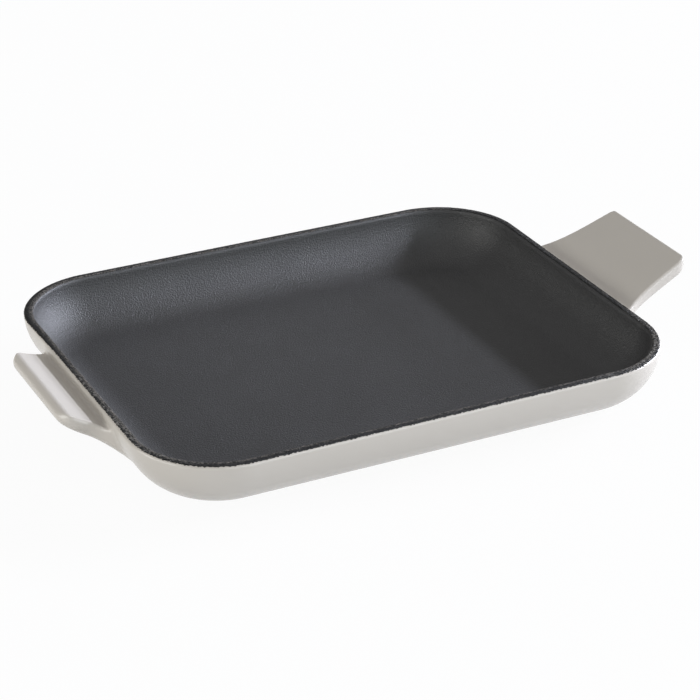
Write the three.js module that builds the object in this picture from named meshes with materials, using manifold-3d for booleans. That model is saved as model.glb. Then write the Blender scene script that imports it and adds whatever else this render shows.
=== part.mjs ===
// Rectangular serving dish in enamelled cast iron, with a long tab handle on one end and a short one on the other.
// The iron is one casting: floor, walls, rim and both handles are poured together. Fired coats lie on it as thin
// separate shells: a satin black lining, a dark ground coat that stays bare on the rim and on the foot, and a gloss
// colour coat outside. Millimetres, +Z up. The origin is the middle of the foot, where it stands on the table, and
// +X points along the long handle.
import * as THREE from "three";
import { mergeVertices } from "three/addons/utils/BufferGeometryUtils.js";
import Module from "manifold-3d";

const wasm = await Module();
wasm.setup();

// Body, measured over the finished enamel
const BODY_LENGTH = 300; // at the rim, without the handles
const BODY_WIDTH = 242;
const CORNER_RADIUS = 48; // plan corners at the rim
const WALL_ROUND = 33.2; // the wall is one quarter arc from the rim to the underside
const WALL_THICKNESS = 5.5; // wall and floor, coats included
const RIM_ROUND = 1.8; // rounding of the rim's two edges
const RIM_BAND = 1; // how far the bare ground coat laps down each side of the rim
const FOOT_HEIGHT = 0.8; // how far the foot stands below the underside
const FOOT_INSET = 27; // from the body's outline to the edge of the foot

// Coats
const COAT = 0.5;
const BOND_GAP = 0.3; // clearance between a coat and the iron, and between two coats that meet
const SKIN = COAT + BOND_GAP;

// Handles, measured over the finished enamel
const HANDLE_RISE = THREE.MathUtils.degToRad(24.3); // slope of the top face
const HANDLE_DROP = 7.1; // where the top face meets the body's end, below the rim
const HANDLE_ROOT_WIDTH = 112;
const HANDLE_ROOT_SWEEP = 8; // stretch along the body's end over which the flared side leaves it
const HANDLE_ROOT_DEPTH = 9; // height of the root at the body's end
const TIP_CORNER = 5; // rounding of the tip's corners in plan
const TIP_LEAN = 1.2; // how far the end face's lower edge stands out past its upper edge
const TOP_FILLET = 3; // between the top face and the wall
const UNDER_FILLET = 7; // between the underside and the wall
const LONG_HANDLE = {
  reach: 47.3, // from the body's end to the tip
  tipWidth: 76,
  tipDepth: 7.4, // height of the tip's end face
  taper: THREE.MathUtils.degToRad(1), // of the sides where they reach the tip
  sweep: 23, // stretch of the sides that keeps near that taper
};
const SHORT_HANDLE = {
  reach: 21.5,
  tipWidth: 79,
  tipDepth: 6,
  taper: THREE.MathUtils.degToRad(16),
  sweep: 9,
};

// Facets
const CORNER_STEPS = 9;
const WALL_STEPS = 9;
const RIM_STEPS = 3;
const CURVE_STEPS = 7;

// Places that follow from the sizes above
const END_X = BODY_LENGTH / 2;
const BODY_HEIGHT = FOOT_HEIGHT + WALL_ROUND; // from the table to the top of the rim
const RIM_CENTRE_Z = BODY_HEIGHT - RIM_ROUND;
const RIM_ANGLE = Math.acos(RIM_ROUND / WALL_ROUND); // of the wall's arc, where the rim's rounding takes over
const BAND_Z = BODY_HEIGHT - Math.min(RIM_BAND, RIM_ROUND - BOND_GAP); // lower edges of the bare rim
const COAT_TOP_Z = BAND_Z - BOND_GAP; // upper edges of the lining and of the colour coat

// Numbers from one end of a range to the other, both ends included.
function range(steps, from, to) {
  return Array.from({ length: steps + 1 }, (_, i) => from + ((to - from) * i) / steps);
}

// Wall from the underside up, as [inset, z] rows. The depth is measured into the wall from its finished outer face.
function wallRows(depth) {
  const radius = WALL_ROUND - depth;
  return range(WALL_STEPS, 0, RIM_ANGLE)
    .slice(0, -1)
    .map((angle) => [WALL_ROUND - radius * Math.sin(angle), BODY_HEIGHT - radius * Math.cos(angle)]);
}

// Rounded outer edge of the rim between two heights, at a depth under its finished face.
function outerRimRows(depth, lowZ, highZ) {
  const radius = RIM_ROUND - depth;
  const angleAt = (z) => Math.asin(THREE.MathUtils.clamp((z - RIM_CENTRE_Z) / radius, 0, 1));
  return range(RIM_STEPS, angleAt(lowZ), angleAt(highZ)).map((angle) => [
    RIM_ROUND - radius * Math.cos(angle),
    RIM_CENTRE_Z + radius * Math.sin(angle),
  ]);
}

// The same rounding on the rim's inner edge.
function innerRimRows(depth, lowZ, highZ) {
  return outerRimRows(depth, lowZ, highZ).map(([inset, z]) => [WALL_THICKNESS - inset, z]);
}

// Outside of the body at a depth under its finished face, from the underside to a height on the rim.
function outsideRows(depth, topZ) {
  return [...wallRows(depth), ...outerRimRows(depth, RIM_CENTRE_Z, topZ)];
}

// Inside of the body at a depth under the finished lining, from the floor to a height on the rim.
function insideRows(depth, topZ) {
  return [...wallRows(WALL_THICKNESS - depth), ...innerRimRows(depth, RIM_CENTRE_Z, topZ)];
}

// Section over the rim at a depth under its finished face, from the band's outer edge to its inner edge.
function bandRows(depth) {
  const heights = [BAND_Z, BODY_HEIGHT - depth];
  return [...outerRimRows(depth, ...heights), ...innerRimRows(depth, ...heights).reverse()];
}

// Loop of points round the body at an inset from its outline, anticlockwise seen from above.
function bodyLoop([inset, z]) {
  const radius = Math.max(CORNER_RADIUS - inset, BOND_GAP);
  const centreX = BODY_LENGTH / 2 - inset - radius;
  const centreY = BODY_WIDTH / 2 - inset - radius;
  const signs = [[1, 1], [-1, 1], [-1, -1], [1, -1]];
  return signs.flatMap(([signX, signY], corner) =>
    range(CORNER_STEPS, corner, corner + 1).map((quarter) => {
      const angle = (quarter * Math.PI) / 2;
      return [signX * centreX + radius * Math.cos(angle), signY * centreY + radius * Math.sin(angle), z];
    }),
  );
}

// Skin over rows of loops. It is capped at its first and last row, or closed on itself as a ring.
function bodyGeometry(rows, isRing = false) {
  const loops = rows.map(bodyLoop);
  const count = loops[0].length;
  const points = loops.flat();
  const triangles = [];
  for (let row = 0; row < (isRing ? rows.length : rows.length - 1); row++) {
    const here = row * count;
    const above = ((row + 1) % rows.length) * count;
    for (let i = 0; i < count; i++) {
      const next = (i + 1) % count;
      triangles.push(here + i, here + next, above + next, here + i, above + next, above + i);
    }
  }
  if (!isRing) {
    const last = (rows.length - 1) * count;
    const firstCentre = points.push([0, 0, rows[0][1]]) - 1;
    const lastCentre = points.push([0, 0, rows[rows.length - 1][1]]) - 1;
    for (let i = 0; i < count; i++) {
      const next = (i + 1) % count;
      triangles.push(firstCentre, next, i, lastCentre, last + i, last + next);
    }
  }
  const geometry = new THREE.BufferGeometry();
  geometry.setAttribute("position", new THREE.Float32BufferAttribute(points.flat(), 3));
  geometry.setIndex(triangles);
  return geometry;
}

// Closed geometry as a solid that can be joined and cut.
function solidOf(geometry) {
  const bare = geometry.clone();
  bare.deleteAttribute("normal");
  bare.deleteAttribute("uv");
  const merged = mergeVertices(bare);
  const vertProperties = merged.attributes.position.array;
  const triVerts = new Uint32Array(merged.index.array);
  return new wasm.Manifold(new wasm.Mesh({ numProp: 3, vertProperties, triVerts }));
}

function geometryOf(solid) {
  const { vertProperties, triVerts } = solid.getMesh();
  const geometry = new THREE.BufferGeometry();
  geometry.setAttribute("position", new THREE.BufferAttribute(vertProperties, 3));
  geometry.setIndex(new THREE.BufferAttribute(triVerts, 1));
  return geometry;
}

// Body filled solid inside one of its outer faces, up to a height on the rim.
function bodyBlock(depth, topZ) {
  return solidOf(bodyGeometry(outsideRows(depth, topZ)));
}

// Every side of a closed anticlockwise outline moved inwards by the same amount.
function movedIn(points, amount) {
  const inward = (from, to) => new THREE.Vector2(from.y - to.y, to.x - from.x).normalize();
  return points.map((point, i) => {
    const before = inward(points.at(i - 1), point);
    const after = inward(point, points[(i + 1) % points.length]);
    const bisector = before.clone().add(after).normalize();
    return point.clone().addScaledVector(bisector, amount / bisector.dot(before));
  });
}

// Handle seen from above: a flared root and a tip with rounded corners.
function planOutline({ reach, tipWidth, taper, sweep }) {
  const tipX = END_X + reach;
  const tipY = tipWidth / 2;
  const rootX = END_X - WALL_ROUND;
  const rootY = HANDLE_ROOT_WIDTH / 2;
  const sweptY = rootY - HANDLE_ROOT_SWEEP;
  const sideX = tipX - TIP_CORNER * Math.cos(taper);
  const sideY = tipY + TIP_CORNER * Math.sin(taper);
  const flareX = sideX - sweep * Math.cos(taper);
  const flareY = sideY + sweep * Math.sin(taper);
  const shape = new THREE.Shape();
  shape.moveTo(rootX, -rootY);
  shape.lineTo(END_X, -rootY);
  shape.bezierCurveTo(END_X, -sweptY, flareX, -flareY, sideX, -sideY);
  shape.quadraticCurveTo(tipX, -tipY, tipX, -tipY + TIP_CORNER);
  shape.lineTo(tipX, tipY - TIP_CORNER);
  shape.quadraticCurveTo(tipX, tipY, sideX, sideY);
  shape.bezierCurveTo(flareX, flareY, END_X, sweptY, END_X, rootY);
  shape.lineTo(rootX, rootY);
  return shape.getPoints(CURVE_STEPS);
}

// Inset of the wall's finished outer face at a height.
function wallInset(z) {
  return WALL_ROUND - Math.sqrt(WALL_ROUND ** 2 - (BODY_HEIGHT - z) ** 2);
}

// Handle seen from the side: a sloping tab that runs into the wall through fillets above and below.
function sideOutline({ reach, tipDepth }) {
  const slope = Math.tan(HANDLE_RISE);
  const tipX = END_X + reach;
  const topZ = BODY_HEIGHT - HANDLE_DROP;
  const tipTopX = tipX - TIP_LEAN;
  const tipTopZ = topZ + (tipTopX - END_X) * slope;
  const tipUnderZ = tipTopZ - tipDepth;
  const underZ = topZ - HANDLE_ROOT_DEPTH;
  const underSlope = (tipUnderZ - underZ) / reach;
  const lowZ = underZ - UNDER_FILLET;
  const lowX = END_X - wallInset(lowZ);
  const shape = new THREE.Shape();
  shape.moveTo(lowX, lowZ);
  shape.quadraticCurveTo(END_X - wallInset(underZ), underZ, END_X + UNDER_FILLET, underZ + UNDER_FILLET * underSlope);
  shape.lineTo(tipX, tipUnderZ);
  shape.lineTo(tipTopX, tipTopZ);
  shape.lineTo(END_X + TOP_FILLET, topZ + TOP_FILLET * slope);
  shape.quadraticCurveTo(END_X, topZ, END_X, topZ + TOP_FILLET);
  shape.lineTo(lowX, topZ + TOP_FILLET);
  return shape.getPoints(CURVE_STEPS);
}

// Handle at a depth under its finished face: its side view and its plan, each run through the other.
// It points along +X, and a turn points it the other way.
function handleBlock(handle, depth, turn) {
  const extrude = (outline, length) =>
    new THREE.ExtrudeGeometry(new THREE.Shape(movedIn(outline, depth)), { depth: length, bevelEnabled: false });
  const side = extrude(sideOutline(handle), BODY_WIDTH);
  side.rotateX(Math.PI / 2).translate(0, BODY_WIDTH / 2, 0).rotateZ(turn);
  const plan = extrude(planOutline(handle), BODY_HEIGHT + handle.reach).rotateZ(turn);
  return solidOf(side).intersect(solidOf(plan));
}

// Body and both handles as one block at a depth under the finished outer face.
function outerBlock(depth, topZ) {
  return bodyBlock(depth, topZ)
    .add(handleBlock(LONG_HANDLE, depth, 0))
    .add(handleBlock(SHORT_HANDLE, depth, Math.PI));
}

// Upright block with the outline of the foot, grown by an amount.
function footGeometry(growth, lowZ, highZ) {
  const inset = FOOT_INSET - growth;
  return bodyGeometry([[inset, lowZ], [inset, highZ]]);
}

function castingGeometry() {
  const rimZ = BODY_HEIGHT - SKIN;
  const hollowRows = insideRows(SKIN, rimZ);
  const [rimInset] = hollowRows.at(-1);
  const hollow = solidOf(bodyGeometry([...hollowRows, [rimInset, BODY_HEIGHT]]));
  const foot = solidOf(footGeometry(0, SKIN, FOOT_HEIGHT + WALL_THICKNESS / 2));
  return geometryOf(outerBlock(SKIN, rimZ).subtract(hollow).add(foot));
}

function colourCoatGeometry() {
  const core = outerBlock(COAT, BODY_HEIGHT - COAT);
  const foot = solidOf(footGeometry(BOND_GAP, -BODY_HEIGHT, FOOT_HEIGHT + WALL_THICKNESS / 2));
  return geometryOf(outerBlock(0, COAT_TOP_Z).subtract(core).subtract(foot));
}

function liningGeometry() {
  return bodyGeometry([...insideRows(COAT, COAT_TOP_Z), ...insideRows(0, COAT_TOP_Z).reverse()]);
}

function rimGeometry() {
  return bodyGeometry([...bandRows(0), ...bandRows(COAT).reverse()], true);
}

const dish = new THREE.Group();
dish.name = "serving_dish";

function addPiece(name, geometry, finish) {
  const piece = new THREE.Mesh(geometry, new THREE.MeshStandardMaterial(finish));
  piece.name = name;
  dish.add(piece);
}

const DARK_GROUND = { color: 0x2b2a2b, roughness: 0.7, metalness: 0 };
addPiece("iron_casting", castingGeometry(), { color: 0x3a3a3c, roughness: 0.75, metalness: 0.6 });
addPiece("interior_enamel", liningGeometry(), { color: 0x3c3c3f, roughness: 0.45, metalness: 0 });
addPiece("exterior_enamel", colourCoatGeometry(), { color: 0xbab5ad, roughness: 0.2, metalness: 0 });
addPiece("rim_ground_coat", rimGeometry(), DARK_GROUND);
addPiece("foot_ground_coat", footGeometry(0, 0, COAT), DARK_GROUND);

export default dish;
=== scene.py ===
import functools
import itertools
import math

import bmesh
import bpy
import numpy as np
from mathutils import Matrix, Vector


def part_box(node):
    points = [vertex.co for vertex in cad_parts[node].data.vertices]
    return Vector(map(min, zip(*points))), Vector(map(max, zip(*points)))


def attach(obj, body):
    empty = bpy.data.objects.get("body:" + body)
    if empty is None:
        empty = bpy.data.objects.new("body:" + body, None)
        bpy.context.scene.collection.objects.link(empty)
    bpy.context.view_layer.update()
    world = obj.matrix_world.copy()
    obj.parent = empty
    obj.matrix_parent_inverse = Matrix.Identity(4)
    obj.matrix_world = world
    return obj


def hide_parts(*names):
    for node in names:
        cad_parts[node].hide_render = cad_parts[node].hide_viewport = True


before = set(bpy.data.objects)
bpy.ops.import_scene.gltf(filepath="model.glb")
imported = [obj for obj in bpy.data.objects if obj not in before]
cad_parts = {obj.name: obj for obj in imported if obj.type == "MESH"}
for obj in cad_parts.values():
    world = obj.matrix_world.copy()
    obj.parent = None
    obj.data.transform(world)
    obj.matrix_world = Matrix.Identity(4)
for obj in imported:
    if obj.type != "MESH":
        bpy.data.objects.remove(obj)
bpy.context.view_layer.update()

MM = 0.001

# Sizes read from the frame
_, rim_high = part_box("rim_ground_coat")
coat_low, coat_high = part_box("exterior_enamel")
BODY_HEIGHT = rim_high.z
FOOT_HEIGHT = coat_low.z

# Sizes that the solids are made from
BODY_LENGTH = 300 * MM
BODY_WIDTH = 242 * MM
CORNER_RADIUS = 48 * MM
WALL_THICKNESS = 5.5 * MM
RIM_ROUND = 1.8 * MM
FOOT_INSET = 27 * MM
COAT = 0.5 * MM
SKIN = 0.8 * MM  # a coat and the bond under it
HANDLE_SLOPE = math.tan(math.radians(24.3))
TIP_LEAN = 1 * MM
END_X = BODY_LENGTH / 2
STRAIGHT_X = BODY_LENGTH / 2 - CORNER_RADIUS  # half of the straight part of a long side
STRAIGHT_Y = BODY_WIDTH / 2 - CORNER_RADIUS  # and of an end
WALL_ROUND = BODY_HEIGHT - FOOT_HEIGHT
FLOOR_Z = FOOT_HEIGHT + WALL_THICKNESS

# Both handles, each as if it pointed along +X. The drop is how far under the rim the top face meets the
# wall, and the bevel is the run and the fall of the slope over the tip. A side's root and pull are the first
# two points of the curve that its edge follows from inside the wall to the tip. Its taper and sweep set the
# third point, and half is how far from the middle it would meet the tip if its corner were sharp. The edge
# and the under_edge are the rounding of the upper and the lower edges.
ROOT_X = END_X - 10 * MM
LONG_TIP_LOSS = 1.2 * MM  # how far rounding draws the long handle's tip in
SHORT_TIP_LOSS = 1.9 * MM  # and the short handle's
HANDLES = [
    {
        "turn": 1,
        "reach": coat_high.x - END_X + LONG_TIP_LOSS,
        "sides": [
            {
                "root": (ROOT_X, 66 * MM),
                "pull": (END_X + 4 * MM, 42.6 * MM),
                "taper": math.radians(8.5),
                "sweep": 24 * MM,
                "half": half,
                "corner": corner,
            }
            for half, corner in ((37.6 * MM, 5 * MM), (38.4 * MM, 7.5 * MM))
        ],
        "drop": 7.1 * MM,
        "tip_depth": 7.4 * MM,
        "bevel": (0.9 * MM, 0.9 * MM),
        "bevel_round": 0.6 * MM,
        "root_depth": 9 * MM,
        "cove": 3 * MM,
        "under_fillet": 7 * MM,
        "edge": 1.7 * MM,
        "under_edge": 2.2 * MM,
    },
    {
        "turn": -1,
        "reach": -coat_low.x - END_X + SHORT_TIP_LOSS,
        "sides": [
            {
                "root": (ROOT_X, 56 * MM),
                "pull": (END_X - 1 * MM, 47 * MM),
                "taper": math.radians(11),
                "sweep": 5 * MM,
                "half": 40 * MM,
                "corner": 9.5 * MM,
            },
            {
                "root": (ROOT_X, 66 * MM),
                "pull": (END_X + 1 * MM, 52.5 * MM),
                "taper": math.radians(9),
                "sweep": 8 * MM,
                "half": 39.6 * MM,
                "corner": 12.5 * MM,
            },
        ],
        "drop": 6.3 * MM,
        "tip_depth": 5.8 * MM,
        "bevel": (4.3 * MM, 2.2 * MM),
        "bevel_round": 1.5 * MM,
        "root_depth": 14 * MM,
        "cove": 4 * MM,
        "under_fillet": 9 * MM,
        "edge": 1.6 * MM,
        "under_edge": 4 * MM,
    },
]

# Sizes of the fine surface
ROOT_BLEND = 1.5 * MM  # fillet where a handle's sides run into the wall
LONGEST_ROUNDING = 0.6  # share of an outline's edge that the rounding of one corner may take
CURVE_STEPS = 14
WALL_STEPS = 36
ROUND_STEPS = 6  # over one rounding of the rim
FLAT_STEPS = 4  # across the flat on top of the rim
LOOP_STEP = 1 * MM
RIM_STEP = 0.45 * MM
FOOT_STEP = 2 * MM
GRID_STEPS = (0.7 * MM, 0.85 * MM, 1.6 * MM, 3 * MM)  # from the finest to the widest
GRID_MARGIN = 4 * MM  # by which the grid reaches past the coat
RIM_BAND = 7 * MM  # width of the closer grid lines along the long sides
FLANKS = (33 * MM, 62 * MM)  # how far from the middle the closer grid lines for the handles' sides lie
IRON_COARSENESS = 1.8  # of the iron's grid against the coat's
EVENING_ROUNDS = 3
SETTLING_ROUNDS = 3
IRON_SETTLING_ROUNDS = 8
LONGEST_STEP = 0.6 * MM  # of a point on its way to the surface
LOWEST_RATE = 0.25  # keeps that step short where a distance hardly grows
SLOPE_REACH = 0.01 * MM  # over which a slope is measured
LID_DEPTH = 0.05 * MM  # how near the top a face counts as the lid that the outside has over the hollow
BASE_DEPTH = 0.3 * MM  # how near the bottom a face counts as the base
COAT_TUCK = 4 * MM  # how far the colour coat runs in over the foot plate
LINING_MARGIN = 4 * MM  # how far in from the wall's foot the fan over the hollow's floor starts

# The bare rim. A lap is how far it runs down one of its two roundings.
OUTER_LAP = math.radians(22)
FRONT_LAP = math.radians(40)  # outer side, at the front
FAR_LAP = math.radians(70)  # outer side, at the far side, where the colour coat stops lowest
INNER_LAP = math.radians(28)
SHORT_END_LAP = math.radians(55)  # inner side, at the short handle's end
RIM_LIFT = 0.12 * MM  # how far the rim stands proud of the coats on either side of it
RAGGED = 0.14 * MM  # unevenness of its edges
RIM_GRAIN = 0.035 * MM  # height of the casting's grain along it
RIM_SEED = 7
SHORTEST_FINE_WAVE = 3  # in points of the rim
LONGEST_FINE_WAVE = 8
FINE_WAVE_SKIP = 5
BROAD_WAVES = range(40, 200, 7)  # waves round the whole rim
# Bands over which the rim changes, as distances from the middle of the dish
FRONT_BAND = (85 * MM, 115 * MM)
FAR_BAND = (35 * MM, 100 * MM)
SHORT_END_BAND = (95 * MM, 135 * MM)
LONG_END_BAND = (115 * MM, 145 * MM)
WORN_END_BAND = (130 * MM, 142 * MM)  # the worn part of the short handle's end
WORN_END_FRONT_BAND = (-20 * MM, 10 * MM)  # and how far to the front it starts
GLINT_CORNER_BAND = (85 * MM, 115 * MM)  # the front corner by the long handle, whose specks are painted glints
GLINT_CORNER_FRONT_BAND = (50 * MM, 90 * MM)
# a thin scatter of specks everywhere, partly wear and partly painted glints
WEAR_AND_GLINT_EVERYWHERE = 0.12
# The painted highlight line along the rim, in shares of the rim's width
PAINTED_HIGHLIGHT_INSET = 0.74
PAINTED_HIGHLIGHT_WIDTH = 0.2
PAINTED_HIGHLIGHT_EDGE = 1.5  # how many widths from its middle the line is gone
LONG_END_HIGHLIGHT_INSET = 0.42
LONG_END_HIGHLIGHT_WIDTH = 0.12
LONG_END_HIGHLIGHT_LOSS = 0.65  # share of the line that is missing at the long handle's end

# The foot plate
FOOT_SOFTNESS = 0.4 * MM  # rounding of its lower edge
HALF_TURN_SHARE = 0.3  # share of its radius that a rounding lies off both faces half-way through its turn
FOOT_FAN_INSET = 5 * MM  # how far in from its edge the fans over its faces start
FOOT_OVERLAP = 0.1 * MM  # by which it runs up into the coat

# Colours of the finishes
WARM_GREY = (0.515, 0.495, 0.465)
PALE_WARM_GREY = (0.527, 0.507, 0.478)
THIN_BROWN = (0.40, 0.345, 0.285)
LINING_BLACK = (0.002, 0.0019, 0.002)
LINING_SPECK = (0.0122, 0.0112, 0.012)
GROUND_BLACK = (0.002, 0.002, 0.002)
GROUND_SPECK = (0.013, 0.0125, 0.012)
# painted highlight line along the rim
RIM_PAINTED_HIGHLIGHT = (0.125, 0.113, 0.1)
# tan specks: wear at the short handle's end, painted glints at the front corner by the long handle
RIM_WEAR_AND_GLINT = (0.13, 0.122, 0.11)
IRON_DARK = (0.045, 0.045, 0.047)
IRON_PALE = (0.11, 0.107, 0.104)
NOISE_SPREAD = (0.3, 0.7)  # where most values of a noise lie


def mixed(first, second, share):
    """What lies a share of the way from one value to another."""
    return first + (second - first) * share


def ramp(value, band):
    """Share of a band that a value has come through, from 0 to 1."""
    start, end = band
    return np.clip((value - start) / (end - start), 0, 1)


def bezier(control, steps=CURVE_STEPS):
    """Points along a curve of any degree, both ends included."""
    share = np.linspace(0, 1, steps + 1)[:, None]
    points = [np.array(point)[None, :] for point in control]
    while len(points) > 1:
        points = [mixed(first, second, share) for first, second in zip(points, points[1:])]
    return points[0]


def rounded_outline(corners):
    """Closed outline through corners, each given with how far from it its rounding starts."""
    points = np.array([corner for corner, _ in corners])
    reaches = [reach for _, reach in corners]
    before = np.roll(points, 1, axis=0)
    after = np.roll(points, -1, axis=0)
    curves = []
    for corner, reach, *others in zip(points, reaches, before, after):
        shares = [min(reach / math.dist(other, corner), LONGEST_ROUNDING) for other in others]
        start, end = (mixed(corner, other, share) for other, share in zip(others, shares))
        curves.append(bezier([start, corner, end]))
    return np.vstack(curves)


def plan_side(tip_x, root, pull, taper, sweep, half, corner):
    """One side of a handle seen from above: from inside the wall along its flare to the tip."""
    inward = np.array((-math.cos(taper), math.sin(taper)))
    side = (tip_x, half) + inward * corner
    return np.vstack([
        [(END_X - WALL_ROUND, root[1])],
        bezier([root, pull, side + inward * sweep, side]),
        bezier([side, (tip_x, half), (tip_x, half - corner)])[1:],
    ])


def plan_outline(handle):
    """Handle seen from above, pointing along +X."""
    far, near = (plan_side(END_X + handle["reach"], **side) for side in handle["sides"])
    return np.vstack([far, near[::-1] * (1, -1)])


def wall_inset(z):
    """Inset of the outer wall's face at a height."""
    return WALL_ROUND - math.sqrt(WALL_ROUND**2 - (BODY_HEIGHT - z) ** 2)


def side_outline(handle):
    """Handle seen from the side, pointing along +X.

    It is a sloping tab with a bevel over its tip and fillets to the wall."""
    tip_x = END_X + handle["reach"]
    top_z = BODY_HEIGHT - handle["drop"]
    bevel_run, bevel_drop = handle["bevel"]
    ridge_x = tip_x - TIP_LEAN - bevel_run
    ridge_z = top_z + (ridge_x - END_X) * HANDLE_SLOPE
    under_z = top_z - handle["root_depth"]
    low_z = under_z - handle["under_fillet"]
    low_x = END_X - wall_inset(low_z)
    cove_z = top_z + handle["cove"]
    return rounded_outline([
        ((low_x, low_z), 0),
        ((END_X - wall_inset(under_z), under_z), handle["under_fillet"]),
        ((tip_x, ridge_z - handle["tip_depth"]), handle["under_edge"]),
        ((ridge_x + bevel_run, ridge_z - bevel_drop), handle["bevel_round"]),
        ((ridge_x, ridge_z), handle["bevel_round"]),
        ((END_X, top_z), handle["cove"]),
        ((END_X - ROOT_BLEND / 2, cove_z), 0),
        ((low_x, cove_z), 0),
    ])


for handle in HANDLES:
    handle["plan"] = plan_outline(handle)
    handle["side"] = side_outline(handle)


def outline_distance(x, y, outline):
    """Distance from a closed outline, negative inside it."""
    squared = np.full(np.broadcast_shapes(x.shape, y.shape), np.inf)
    inside = np.zeros(squared.shape, bool)
    for (from_x, from_y), (to_x, to_y) in zip(outline, np.roll(outline, -1, axis=0)):
        edge_x, edge_y = to_x - from_x, to_y - from_y
        length_squared = edge_x**2 + edge_y**2
        if length_squared == 0:
            continue
        share = np.clip(((x - from_x) * edge_x + (y - from_y) * edge_y) / length_squared, 0, 1)
        away_x = x - from_x - share * edge_x
        away_y = y - from_y - share * edge_y
        squared = np.minimum(squared, away_x**2 + away_y**2)
        if edge_y != 0:
            crosses = (from_y > y) != (to_y > y)
            inside ^= crosses & (x < from_x + edge_x * (y - from_y) / edge_y)
    return np.where(inside, -1, 1) * np.sqrt(squared)


def rounded_common(distances, radius):
    """What lies inside every one of several shapes, with its edges rounded."""
    over = [np.maximum(distance + radius, 0) ** 2 for distance in distances]
    deepest = functools.reduce(np.maximum, distances)
    return np.sqrt(functools.reduce(np.add, over)) + np.minimum(deepest + radius, 0) - radius


def filleted_union(first, second, radius):
    """Two shapes together, with a fillet where they meet."""
    corner = np.hypot(np.maximum(radius - first, 0), np.maximum(radius - second, 0))
    return np.maximum(radius, np.minimum(first, second)) - corner


def body_inset(x, y):
    """How far a point lies inside the body's outline at the rim."""
    over_x = np.abs(x) - STRAIGHT_X
    over_y = np.abs(y) - STRAIGHT_Y
    outside = np.hypot(np.maximum(over_x, 0), np.maximum(over_y, 0))
    inside = np.minimum(np.maximum(over_x, over_y), 0)
    return CORNER_RADIUS - (outside + inside)


def arc_radius(x, y, z):
    """How far a point lies from the line that the wall's arc turns about."""
    across = np.maximum(WALL_ROUND - body_inset(x, y), 0)
    down = np.maximum(BODY_HEIGHT - z, 0)
    return np.hypot(across, down)


def body_distance(x, y, z):
    """Distance from the finished outside of the body, whose wall is one quarter arc."""
    return rounded_common([arc_radius(x, y, z) - WALL_ROUND, z - BODY_HEIGHT], RIM_ROUND)


def handle_distances(handle, x, y, z):
    """Distances from a handle's outline seen from above and from its outline seen from the side."""
    along = x * handle["turn"]
    return outline_distance(along, y, handle["plan"]), outline_distance(along, z, handle["side"])


def edge_radius(handle, x, z):
    """Rounding of a handle's edges, which grows from its top face down through its depth."""
    top_z = BODY_HEIGHT - handle["drop"] + (x * handle["turn"] - END_X) * HANDLE_SLOPE
    return mixed(handle["edge"], handle["under_edge"], ramp(top_z - z, (0, handle["tip_depth"])))


def outside_distance(x, y, z):
    """Distance from the finished outside of the whole dish, as if its hollow had a flat lid."""
    shape = body_distance(x, y, z)
    for handle in HANDLES:
        tab = rounded_common(handle_distances(handle, x, y, z), edge_radius(handle, x, z))
        shape = filleted_union(shape, tab, ROOT_BLEND)
    return shape


def iron_distance(x, y, z):
    """Distance from the iron, which lies a skin's depth under the outside and under the hollow's face."""
    hollow = WALL_ROUND - WALL_THICKNESS - arc_radius(x, y, z)
    return np.maximum(outside_distance(x, y, z), hollow) + SKIN


def edge_share(points):
    """How near each point is to an upper edge of a handle, from 0 to 1."""
    share = np.zeros(len(points))
    for handle in HANDLES:
        plan, side = handle_distances(handle, *points.T)
        radius = edge_radius(handle, points[:, 0], points[:, 2])
        is_upper = radius < (handle["edge"] + handle["under_edge"]) / 2
        nearness = np.minimum(plan, side) / handle["edge"] + 1
        share = np.maximum(share, np.where(is_upper, np.clip(nearness, 0, 1), 0))
    return share


def graded(*stretches):
    """Grid lines over stretches that follow each other, each given as start, end and about its step."""
    lines = []
    for start, end, step in stretches:
        count = round((end - start) / step)
        lines.append(np.linspace(start, end, count + 1)[:-1])
    _, last_end, _ = stretches[-1]
    return np.concatenate([*lines, [last_end]])


def grid(coarseness=1):
    """Grid lines for the whole dish, closest round the handles and widest along the straight walls."""
    fine, medium, coarse, widest = (step * coarseness for step in GRID_STEPS)
    handle_x = END_X - GRID_MARGIN
    flank_low, flank_high = FLANKS
    edge_y = BODY_WIDTH / 2 + GRID_MARGIN
    rim_y = edge_y - RIM_BAND
    return [
        graded(
            (coat_low.x - GRID_MARGIN, -handle_x, fine),
            (-handle_x, -STRAIGHT_X, coarse),
            (-STRAIGHT_X, STRAIGHT_X, widest),
            (STRAIGHT_X, handle_x, coarse),
            (handle_x, coat_high.x + GRID_MARGIN, fine),
        ),
        graded(
            (-edge_y, -rim_y, medium),
            (-rim_y, -flank_high, coarse),
            (-flank_high, -flank_low, medium),
            (-flank_low, flank_low, widest),
            (flank_low, flank_high, medium),
            (flank_high, rim_y, coarse),
            (rim_y, edge_y, medium),
        ),
        graded((FOOT_HEIGHT - GRID_MARGIN, coat_high.z + GRID_MARGIN, medium)),
    ]


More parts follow.
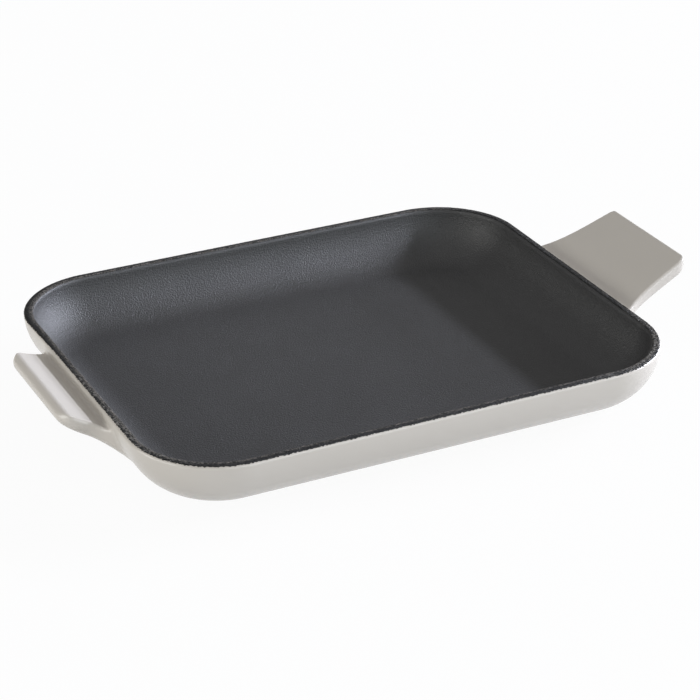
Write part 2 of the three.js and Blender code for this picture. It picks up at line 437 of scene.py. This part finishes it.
def surface_net(distance, axes):
    """Points and four-sided faces of a shape's surface on a grid.

    There is a point in each cell and a face round each grid edge that the surface passes through."""
    inside = distance(*np.meshgrid(*axes, indexing="ij", sparse=True)) < 0
    cells = [size - 1 for size in inside.shape]
    corners = [
        inside[tuple(slice(start, start + size) for start, size in zip(offset, cells))]
        for offset in itertools.product((0, 1), repeat=3)
    ]
    crossed = np.any(corners, axis=0) & ~np.all(corners, axis=0)
    number = np.full(cells, -1)
    number[crossed] = np.arange(crossed.sum())
    middles = [(axis[:-1] + axis[1:]) / 2 for axis in axes]
    points = np.stack([middle[index] for middle, index in zip(middles, np.nonzero(crossed))], axis=1)
    faces = []
    for axis in range(3):
        turned = (axis, (axis + 1) % 3, (axis + 2) % 3)
        before = np.moveaxis(inside, turned, (0, 1, 2))
        around = np.moveaxis(number, turned, (0, 1, 2))
        changed = before[:-1, 1:-1, 1:-1] != before[1:, 1:-1, 1:-1]
        i, j, k = np.nonzero(changed)
        ring = [(j, k), (j + 1, k), (j + 1, k + 1), (j, k + 1)]
        quads = np.stack([around[(i, *cell)] for cell in ring], axis=1)
        leaving = before[i, j + 1, k + 1]
        faces.append(np.where(leaving[:, None], quads, quads[:, ::-1]))
    return points, np.vstack(faces)


def slope_of(distance, points):
    """Direction and rate in which a distance grows at each point."""
    columns = []
    for offset in np.eye(3) * SLOPE_REACH:
        rise = distance(*(points + offset).T) - distance(*(points - offset).T)
        columns.append(rise / (2 * SLOPE_REACH))
    return np.stack(columns, axis=1)


def settled(distance, points):
    """Points moved straight onto a surface that they lie near."""
    slope = slope_of(distance, points)
    rate = np.maximum((slope**2).sum(axis=1), LOWEST_RATE)
    step = np.clip(distance(*points.T) / rate, -LONGEST_STEP, LONGEST_STEP)
    return points - slope * step[:, None]


def face_edges(faces):
    """Both ends of every edge of every face, as they follow each other round it."""
    corners = faces.shape[1]
    return np.vstack([faces[:, [corner, (corner + 1) % corners]] for corner in range(corners)])


def evened(points, faces):
    """Each point moved to the middle of its neighbours."""
    total = np.zeros_like(points)
    count = np.zeros(len(points))
    here, there = face_edges(faces).T
    for first, second in ((here, there), (there, here)):
        np.add.at(total, first, points[second])
        np.add.at(count, first, 1)
    return total / count[:, None]


def without(points, faces, dropped):
    """The mesh that is left when faces are dropped, with no loose points."""
    kept = faces[~dropped]
    used, renumbered = np.unique(kept, return_inverse=True)
    return points[used], renumbered.reshape(kept.shape)


def shell(points, faces, normals, thickness):
    """Points, faces and normals of a thin closed shell that lies under an open surface."""
    count = len(points)
    edges = face_edges(faces)
    _, place, uses = np.unique(np.sort(edges, axis=1), axis=0, return_index=True, return_counts=True)
    border = edges[place[uses == 1]]
    sides = np.column_stack([border[:, ::-1], border + count])
    return (
        np.vstack([points, points - normals * thickness]),
        np.vstack([faces, faces[:, ::-1] + count, sides]),
        np.vstack([normals, -normals]),
    )


def body_loop(inset, z, step=LOOP_STEP):
    """Points round the body at an inset from its outline, anticlockwise from the long handle's end.

    Loops of one step have equally many points, each on the same line square to the outline."""
    arc = np.linspace(0, math.pi / 2, round(CORNER_RADIUS * math.pi / 2 / step) + 1)
    side_x = np.linspace(STRAIGHT_X, -STRAIGHT_X, round(2 * STRAIGHT_X / step) + 1)[1:-1]
    side_y = np.linspace(-STRAIGHT_Y, STRAIGHT_Y, round(2 * STRAIGHT_Y / step) + 1)[1:-1]
    centres, angles = [], []
    for quarter, (sign_x, sign_y) in enumerate([(1, 1), (-1, 1), (-1, -1), (1, -1)]):
        corner = (sign_x * STRAIGHT_X, sign_y * STRAIGHT_Y)
        centres += [corner] * len(arc)
        angles += list(arc + quarter * math.pi / 2)
        end_angle = (quarter + 1) * math.pi / 2
        if quarter % 2 == 0:
            centres += [(sign_x * x, corner[1]) for x in side_x]
            angles += [end_angle] * len(side_x)
        else:
            centres += [(corner[0], -sign_y * y) for y in side_y]
            angles += [end_angle] * len(side_y)
    radius = CORNER_RADIUS - np.asarray(inset)
    flat = np.array(centres) + (radius * np.stack([np.cos(angles), np.sin(angles)])).T
    return np.column_stack([flat, np.broadcast_to(z, len(flat))])


def loft(loops, is_ring=False):
    """Skin over loops of points.

    It closes on itself as a ring, or is capped with a fan at its first and last loop."""
    count = len(loops[0])
    points = np.vstack(loops)
    here = np.arange(count)
    ahead = (here + 1) % count
    faces = []
    for row in range(len(loops) if is_ring else len(loops) - 1):
        first = row * count
        second = (row + 1) % len(loops) * count
        quads = [first + here, first + ahead, second + ahead, second + here]
        faces += np.stack(quads, axis=1).tolist()
    if not is_ring:
        last = (len(loops) - 1) * count
        first_centre, last_centre = len(points), len(points) + 1
        points = np.vstack([points, loops[0].mean(axis=0), loops[-1].mean(axis=0)])
        faces += np.stack([np.full(count, first_centre), ahead, here], axis=1).tolist()
        faces += np.stack([np.full(count, last_centre), last + here, last + ahead], axis=1).tolist()
    return points, faces


def add_piece(name, points, faces, node, material, shares=None, normals=None):
    """A smooth mesh that stands for a node. Shares are named values from 0 to 1, one for each point."""
    mesh = bpy.data.meshes.new(name)
    mesh.from_pydata(np.asarray(points).tolist(), [], np.asarray(faces, dtype=object).tolist())
    mesh.update()
    mesh.shade_smooth()
    for share_name, values in (shares or {}).items():
        attribute = mesh.attributes.new(share_name, "FLOAT", "POINT")
        attribute.data.foreach_set("value", np.asarray(values, dtype=np.float32))
    if normals is not None:
        mesh.normals_split_custom_set_from_vertices(normals.tolist())
    mesh.materials.append(material)
    piece = bpy.data.objects.new(name, mesh)
    bpy.context.collection.objects.link(piece)
    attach(piece, "root")
    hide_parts(node)


class Nodes:
    """Nodes of a material or of a world."""

    def __init__(self, tree):
        self.tree = tree
        self.tree.nodes.clear()

    def add(self, kind, inputs=None, **settings):
        """A node whose inputs are linked to sockets or set to values."""
        node = self.tree.nodes.new(kind)
        for setting, value in settings.items():
            setattr(node, setting, value)
        for key, value in (inputs or {}).items():
            if isinstance(value, bpy.types.NodeSocket):
                self.tree.links.new(value, node.inputs[key])
            else:
                node.inputs[key].default_value = value
        return node

    def maths(self, operation, first, second):
        return self.add("ShaderNodeMath", {0: first, 1: second}, operation=operation).outputs[0]

    def ranged(self, value, source, target=(0, 1)):
        """A value carried from one range to another and held inside it."""
        inputs = {
            "Value": value,
            "From Min": source[0],
            "From Max": source[1],
            "To Min": target[0],
            "To Max": target[1],
        }
        return self.add("ShaderNodeMapRange", inputs, clamp=True).outputs["Result"]


class Finish(Nodes):
    """A material. Its methods give back the socket that comes out of what they add.

    The last two complete the material and give it back."""

    def __init__(self, name):
        self.material = bpy.data.materials.new(name)
        self.material.use_nodes = True
        super().__init__(self.material.node_tree)

    def noise(self, grain, detail=3, roughness=0.5):
        """Cloudy values about 0.5, whose blotches are about one grain across."""
        place = self.add("ShaderNodeTexCoord").outputs["Object"]
        inputs = {"Vector": place, "Scale": 1 / grain, "Detail": detail, "Roughness": roughness}
        return self.add("ShaderNodeTexNoise", inputs).outputs["Fac"]

    def share(self, name):
        """A value that the mesh holds for each of its points."""
        return self.add("ShaderNodeAttribute", attribute_name=name).outputs["Fac"]

    def blend(self, share, first, second):
        """A colour a share of the way from one colour to another."""
        node = self.add("ShaderNodeMix", data_type="RGBA")
        colours = [socket for socket in node.inputs if socket.type == "RGBA"]
        self.tree.links.new(share, node.inputs["Factor"])
        for socket, colour in zip(colours, (first, second)):
            if isinstance(colour, bpy.types.NodeSocket):
                self.tree.links.new(colour, socket)
            else:
                socket.default_value = (*colour, 1)
        return next(socket for socket in node.outputs if socket.type == "RGBA")

    def bump(self, height, depth, below=None):
        """A normal tilted by heights of some depth, on top of another normal if one is given."""
        inputs = {"Height": height, "Distance": depth, "Strength": 1.0}
        if below is not None:
            inputs["Normal"] = below
        return self.add("ShaderNodeBump", inputs).outputs["Normal"]

    def finished(self, surface):
        """The material, with a shader as its surface."""
        self.add("ShaderNodeOutputMaterial", {"Surface": surface})
        return self.material

    def shaded(self, **inputs):
        """The material, with a shader whose sockets are given by name."""
        sockets = {key.replace("_", " "): value for key, value in inputs.items()}
        return self.finished(self.add("ShaderNodeBsdfPrincipled", sockets).outputs["BSDF"])


def colour_enamel():
    """Gloss warm grey, a little uneven, thinner and browner over the handles' edges."""
    finish = Finish("warm_grey_gloss_enamel")
    clouds = finish.ranged(finish.noise(grain=45 * MM, detail=4), NOISE_SPREAD)
    grey = finish.blend(clouds, WARM_GREY, PALE_WARM_GREY)
    thin = finish.ranged(finish.share("edge"), source=(0.35, 0.75), target=(0, 0.35))
    colour = finish.blend(thin, grey, THIN_BROWN)
    peel = finish.bump(finish.noise(grain=7 * MM, detail=1), depth=0.02 * MM)
    return finish.shaded(Base_Color=colour, Roughness=0.25, Normal=peel)


def black_enamel():
    """Satin black with a fine grain."""
    finish = Finish("satin_black_enamel")
    grain = finish.noise(grain=0.85 * MM, detail=2, roughness=0.6)
    specks = finish.ranged(grain, source=(0.35, 0.65))
    colour = finish.blend(specks, LINING_BLACK, LINING_SPECK)
    gloss = finish.ranged(finish.noise(grain=20 * MM), NOISE_SPREAD, target=(0.5, 0.56))
    waves = finish.bump(finish.noise(grain=14 * MM, detail=2), depth=0.06 * MM)
    pits = finish.bump(grain, depth=0.45 * MM, below=waves)
    return finish.shaded(
        Base_Color=colour,
        Roughness=gloss,
        Specular_IOR_Level=0.93,
        Sheen_Weight=0.06,
        Sheen_Roughness=0.4,
        Normal=pits,
    )


def ground_coat(name, is_rim=False):
    """Matt near-black first coat, rough from the casting. A rim has a painted highlight line and tan specks,
    which are wear at the short handle's end and painted glints at the front corner by the long handle, with
    a thin scatter of both everywhere.
    """
    finish = Finish(name)
    grain = finish.noise(grain=0.75 * MM, detail=2, roughness=0.6)
    colour = finish.blend(finish.ranged(grain, source=(0.35, 0.7)), GROUND_BLACK, GROUND_SPECK)
    if is_rim:
        highlight_grain = finish.ranged(grain, source=(0.46, 0.58))
        # painted highlight line along the rim, speckled by the grain
        colour = finish.blend(finish.maths("MULTIPLY", highlight_grain, finish.share("painted_highlight")), colour, RIM_PAINTED_HIGHLIGHT)
        specks = finish.ranged(finish.noise(grain=1.2 * MM, detail=2), source=(0.52, 0.62))
        # tan specks: wear at the short handle's end, painted glints elsewhere
        colour = finish.blend(finish.maths("MULTIPLY", specks, finish.share("wear_and_glints")), colour, RIM_WEAR_AND_GLINT)
    gloss = finish.ranged(finish.noise(grain=3 * MM), NOISE_SPREAD, target=(0.5, 0.7))
    rough = finish.bump(grain, depth=0.8 * MM)
    return finish.shaded(Base_Color=colour, Roughness=gloss, Specular_IOR_Level=0.25, Normal=rough)


def cast_iron():
    """Bare sand-cast iron, which the coats hide."""
    finish = Finish("sand_cast_iron")
    grain = finish.noise(grain=1.2 * MM, detail=4, roughness=0.65)
    colour = finish.blend(finish.ranged(grain, NOISE_SPREAD), IRON_DARK, IRON_PALE)
    gloss = finish.ranged(finish.noise(grain=5 * MM), NOISE_SPREAD, target=(0.55, 0.75))
    rough = finish.bump(grain, depth=0.3 * MM)
    return finish.shaded(Base_Color=colour, Metallic=0.8, Roughness=gloss, Normal=rough)


def make_iron():
    """The casting, a skin's depth inside the finished faces."""
    points, faces = surface_net(iron_distance, grid(IRON_COARSENESS))
    for _ in range(IRON_SETTLING_ROUNDS):
        points = settled(iron_distance, points)
    add_piece("iron_core", points, faces, "iron_casting", cast_iron())


def make_exterior():
    """The colour coat: a thin shell under the outside, open over the hollow and over the foot plate."""
    points, faces = surface_net(outside_distance, grid())
    for _ in range(EVENING_ROUNDS):
        points = evened(settled(outside_distance, points), faces)
    for _ in range(SETTLING_ROUNDS):
        points = settled(outside_distance, points)
    x, y, z = points[faces].mean(axis=1).T
    inset = body_inset(x, y)
    is_lid = (z > BODY_HEIGHT - LID_DEPTH) & (inset > WALL_THICKNESS / 2)
    is_base = (z < FOOT_HEIGHT + BASE_DEPTH) & (inset > FOOT_INSET + COAT_TUCK)
    points, faces = without(points, faces, is_lid | is_base)
    slope = slope_of(outside_distance, points)
    normals = slope / np.linalg.norm(slope, axis=1, keepdims=True)
    edge = np.tile(edge_share(points), 2)  # once for each face of the shell
    points, faces, normals = shell(points, faces, normals, COAT)
    add_piece(
        "exterior_coat",
        points,
        faces,
        "exterior_enamel",
        colour_enamel(),
        {"edge": edge},
        normals,
    )


def inside_rows(depth):
    """Inset and height of the hollow's face from the floor to the rim's top, at a depth under the lining."""
    radius = WALL_ROUND - WALL_THICKNESS + depth
    top_angle = math.acos(RIM_ROUND / radius)
    rows = [
        (WALL_ROUND - radius * math.sin(angle), BODY_HEIGHT - radius * math.cos(angle))
        for angle in np.linspace(0, top_angle, WALL_STEPS + 1)
    ]
    round_radius = RIM_ROUND - depth
    for angle in np.linspace(0, math.pi / 2, ROUND_STEPS + 1)[1:]:
        inset = WALL_THICKNESS - RIM_ROUND + round_radius * math.cos(angle)
        rows.append((inset, BODY_HEIGHT - RIM_ROUND + round_radius * math.sin(angle)))
    return rows


def make_lining():
    """The black lining of the hollow, up over the inner rounding of the rim."""
    under = [body_loop(*row) for row in inside_rows(COAT)]
    top = [body_loop(*row) for row in reversed(inside_rows(0))]
    floor_ring = body_loop(WALL_ROUND + LINING_MARGIN, FLOOR_Z)
    points, faces = loft([*under, *top, floor_ring])
    add_piece("interior_lining", points, faces, "interior_enamel", black_enamel())


def uneven(count, waves, amplitude, draw, limit=2):
    """Smooth closed noise round a loop: many waves of random height and phase.

    It is held within a limit, in standard deviations."""
    place = np.linspace(0, 2 * math.pi, count, endpoint=False)
    total = np.zeros(count)
    for wave in waves:
        total += draw.normal() * np.cos(wave * place + draw.uniform(0, 2 * math.pi))
    return amplitude * np.clip(total / total.std(), -limit, limit)


def rim_section(radius, outer_lap, inner_lap):
    """Inset and height over the rim from its outer lower edge to its inner one.

    Each lap is the angle by which it runs down that side."""
    centre_z = BODY_HEIGHT - RIM_ROUND
    inner_centre = WALL_THICKNESS - RIM_ROUND
    shares = np.linspace(0, 1, ROUND_STEPS + 1)[:, None]
    outer = [(RIM_ROUND - radius * np.sin(turn), radius * np.cos(turn)) for turn in outer_lap * shares]
    flat = [(inset, radius) for inset in np.linspace(RIM_ROUND, inner_centre, FLAT_STEPS + 1)[1:-1]]
    inner = [(inner_centre + radius * np.sin(turn), radius * np.cos(turn)) for turn in inner_lap * shares]
    return [(inset, centre_z + rise) for inset, rise in [*outer[::-1], *flat, *inner]]


def rim_shares(points, inset):
    """Shares of tan specks (wear and painted glints) and of the painted highlight line on the rim at each
    point, whose inset is a share of the rim's width.
    """
    along, across, _ = points.T
    short_end = ramp(-along, WORN_END_BAND) * ramp(-across, WORN_END_FRONT_BAND)
    # painted glints on the front corner by the long handle
    glinting_corner = ramp(along, GLINT_CORNER_BAND) * ramp(-across, GLINT_CORNER_FRONT_BAND)
    long_end = ramp(along, LONG_END_BAND)
    # where the painted highlight line lies across the rim
    highlight_inset = mixed(PAINTED_HIGHLIGHT_INSET, LONG_END_HIGHLIGHT_INSET, long_end)
    highlight_width = mixed(PAINTED_HIGHLIGHT_WIDTH, LONG_END_HIGHLIGHT_WIDTH, long_end)
    painted_highlight = np.clip(PAINTED_HIGHLIGHT_EDGE - np.abs(inset - highlight_inset) / highlight_width, 0, 1)
    painted_highlight *= 1 - LONG_END_HIGHLIGHT_LOSS * long_end * (1 - glinting_corner)
    return {"wear_and_glints": np.clip(WEAR_AND_GLINT_EVERYWHERE + short_end + glinting_corner, 0, 1), "painted_highlight": painted_highlight}


def make_rim():
    """The ground coat left uncoated along the top of the rim, with ragged edges and a grain."""
    draw = np.random.default_rng(RIM_SEED)
    along, across, _ = body_loop(0, BODY_HEIGHT, RIM_STEP).T
    count = len(along)
    fine_waves = range(count // LONGEST_FINE_WAVE, count // SHORTEST_FINE_WAVE, FINE_WAVE_SKIP)
    outer = uneven(count, fine_waves, RAGGED, draw) + uneven(count, BROAD_WAVES, RAGGED / 2, draw)
    inner = uneven(count, BROAD_WAVES, RAGGED / 2, draw)
    outer_lap = mixed(OUTER_LAP, FRONT_LAP, ramp(-across, FRONT_BAND))
    outer_lap = mixed(outer_lap, FAR_LAP, ramp(across, FAR_BAND))
    inner_lap = mixed(INNER_LAP, SHORT_END_LAP, ramp(-along, SHORT_END_BAND))
    laps = [outer_lap + outer / RIM_ROUND, inner_lap + inner / RIM_ROUND]
    smooth_top = rim_section(RIM_ROUND + RIM_LIFT, *laps)
    top = [(inset, z + draw.normal(0, RIM_GRAIN, count)) for inset, z in smooth_top]
    under = rim_section(RIM_ROUND - COAT, *laps)
    points, faces = loft([body_loop(*row, RIM_STEP) for row in [*top, *under[::-1]]], is_ring=True)
    row_insets = [np.mean(inset) / WALL_THICKNESS for inset, _ in top]
    inset = np.repeat([*row_insets, *row_insets[::-1]], count)
    add_piece(
        "bare_rim",
        points,
        faces,
        "rim_ground_coat",
        ground_coat("bare_ground_coat", is_rim=True),
        rim_shares(points, inset),
    )


def make_foot():
    """The flat plate that the dish stands on."""
    fan_inset = FOOT_INSET + FOOT_FAN_INSET
    top_z = FOOT_HEIGHT + FOOT_OVERLAP
    half_turn = FOOT_SOFTNESS * HALF_TURN_SHARE
    rows = [
        (fan_inset, 0),
        (FOOT_INSET + FOOT_SOFTNESS, 0),
        (FOOT_INSET + half_turn, half_turn),
        (FOOT_INSET, FOOT_SOFTNESS),
        (FOOT_INSET, top_z),
        (fan_inset, top_z),
    ]
    points, faces = loft([body_loop(*row, FOOT_STEP) for row in rows])
    coat = ground_coat("foot_ground_coat")
    add_piece("foot_plate", points, faces, "foot_ground_coat", coat)


# Camera, from a fit to the outline of the rim in the photograph
CAMERA_AZIMUTH = math.radians(-116.076)
CAMERA_ELEVATION = math.radians(26.571)
CAMERA_ROLL = math.radians(-0.231)
CAMERA_DISTANCE = 1.24296
CAMERA_AIM = Vector((-8.92 * MM, -33.0 * MM, BODY_HEIGHT))
CAMERA_LENS = 121.4
SENSOR_WIDTH = 36

# Light: softboxes under a sky that is brightest overhead
DAYLIGHT = (0.835, 0.875, 1.0)
SOFTBOXES = {
    "key": {
        "azimuth": math.radians(-5),
        "elevation": math.radians(23),
        "distance": 4,
        "width": 2.4,
        "height": 0.24,
        "power": 224,
        "colour": DAYLIGHT,
    },
    "low_side": {
        "azimuth": math.radians(9),
        "elevation": math.radians(12),
        "distance": 4,
        "width": 2.6,
        "height": 0.5,
        "power": 94,
        "colour": DAYLIGHT,
    },
    "front": {
        "azimuth": math.radians(-77),
        "elevation": math.radians(9),
        "distance": 1.5,
        "width": 1.6,
        "height": 0.6,
        "power": 15.5,
        "colour": (0.91, 0.965, 1.0),
    },
    "fill": {
        "azimuth": math.radians(177),
        "elevation": math.radians(12),
        "distance": 1.5,
        "width": 1.4,
        "height": 0.7,
        "power": 15.5,
        "colour": (0.98, 0.985, 0.96),
    },
    "back": {
        "azimuth": math.radians(55),
        "elevation": math.radians(4),
        "distance": 1.5,
        "width": 1.6,
        "height": 0.15,
        "power": 1,
        "colour": (1.0, 1.0, 1.0),
    },
}
HORIZON_STRENGTH = 0.04
ZENITH_STRENGTH = 0.84
SKY_GRADE = 2  # how much of the sky stays dim above the horizon
WHITE = (1, 1, 1, 1)
FLOOR_SIZE = 8
FLOOR_SEGMENTS = 4
FLOOR_COLOUR = (0.6, 0.6, 0.6, 1)  # what the floor throws back onto the dish
FLOOR_GLOW = 0.95  # share of plain white in what the camera and reflections see of the floor


def direction(azimuth, elevation):
    """Direction away from the dish. Azimuths run from +X towards +Y."""
    return Vector((
        math.cos(azimuth) * math.cos(elevation),
        math.sin(azimuth) * math.cos(elevation),
        math.sin(elevation),
    ))


def add_camera():
    back = direction(CAMERA_AZIMUTH, CAMERA_ELEVATION)
    camera = bpy.data.objects.new("camera", bpy.data.cameras.new("camera"))
    camera.data.sensor_width = SENSOR_WIDTH
    camera.data.lens = CAMERA_LENS
    turn = (-back).to_track_quat("-Z", "Y").to_matrix() @ Matrix.Rotation(CAMERA_ROLL, 3, "Z")
    camera.matrix_world = Matrix.Translation(CAMERA_AIM + back * CAMERA_DISTANCE) @ turn.to_4x4()
    bpy.context.collection.objects.link(camera)
    bpy.context.scene.camera = camera


def add_softbox(name, azimuth, elevation, distance, width, height, power, colour):
    towards = direction(azimuth, elevation)
    lamp = bpy.data.lights.new(name, "AREA")
    lamp.shape = "RECTANGLE"
    lamp.size = width
    lamp.size_y = height
    lamp.energy = power
    lamp.color = colour
    light = bpy.data.objects.new(name, lamp)
    light.location = towards * distance
    light.rotation_euler = towards.to_track_quat("Z", "Y").to_euler()
    bpy.context.collection.objects.link(light)


def light_world():
    world = bpy.data.worlds.new("studio")
    world.use_nodes = True
    sky = Nodes(world.node_tree)
    towards = sky.add("ShaderNodeTexCoord").outputs["Generated"]
    height = sky.add("ShaderNodeSeparateXYZ", {0: towards}).outputs["Z"]
    grade = sky.maths("POWER", height, SKY_GRADE)
    strength = sky.ranged(grade, source=(0, 1), target=(HORIZON_STRENGTH, ZENITH_STRENGTH))
    background = sky.add("ShaderNodeBackground", {"Color": WHITE, "Strength": strength})
    sky.add("ShaderNodeOutputWorld", {"Surface": background.outputs[0]})
    bpy.context.scene.world = world


def floor_finish():
    """Pale paper. The camera and reflections see it near plain white, with a trace of the dish's shadow."""
    finish = Finish("white_paper")
    path = finish.add("ShaderNodeLightPath").outputs
    seen = finish.maths("MAXIMUM", path["Is Camera Ray"], path["Is Glossy Ray"])
    seen = finish.maths("MAXIMUM", seen, path["Is Transmission Ray"])
    glow_share = finish.maths("MULTIPLY", seen, FLOOR_GLOW)
    paper = finish.add("ShaderNodeBsdfDiffuse", {"Color": FLOOR_COLOUR}).outputs[0]
    glow = finish.add("ShaderNodeEmission", {"Color": WHITE, "Strength": 1.0}).outputs[0]
    return finish.finished(finish.add("ShaderNodeMixShader", {0: glow_share, 1: paper, 2: glow}).outputs[0])


def add_floor():
    mesh = bpy.data.meshes.new("floor")
    sheet = bmesh.new()
    bmesh.ops.create_grid(sheet, x_segments=FLOOR_SEGMENTS, y_segments=FLOOR_SEGMENTS, size=FLOOR_SIZE / 2)
    sheet.to_mesh(mesh)
    sheet.free()
    mesh.materials.append(floor_finish())
    floor = bpy.data.objects.new("floor", mesh)
    bpy.context.collection.objects.link(floor)


make_iron()
make_exterior()
make_lining()
make_rim()
make_foot()

add_camera()
for softbox_name, softbox in SOFTBOXES.items():
    add_softbox(softbox_name, **softbox)
light_world()
add_floor()
bpy.context.scene.view_settings.view_transform = "Standard"
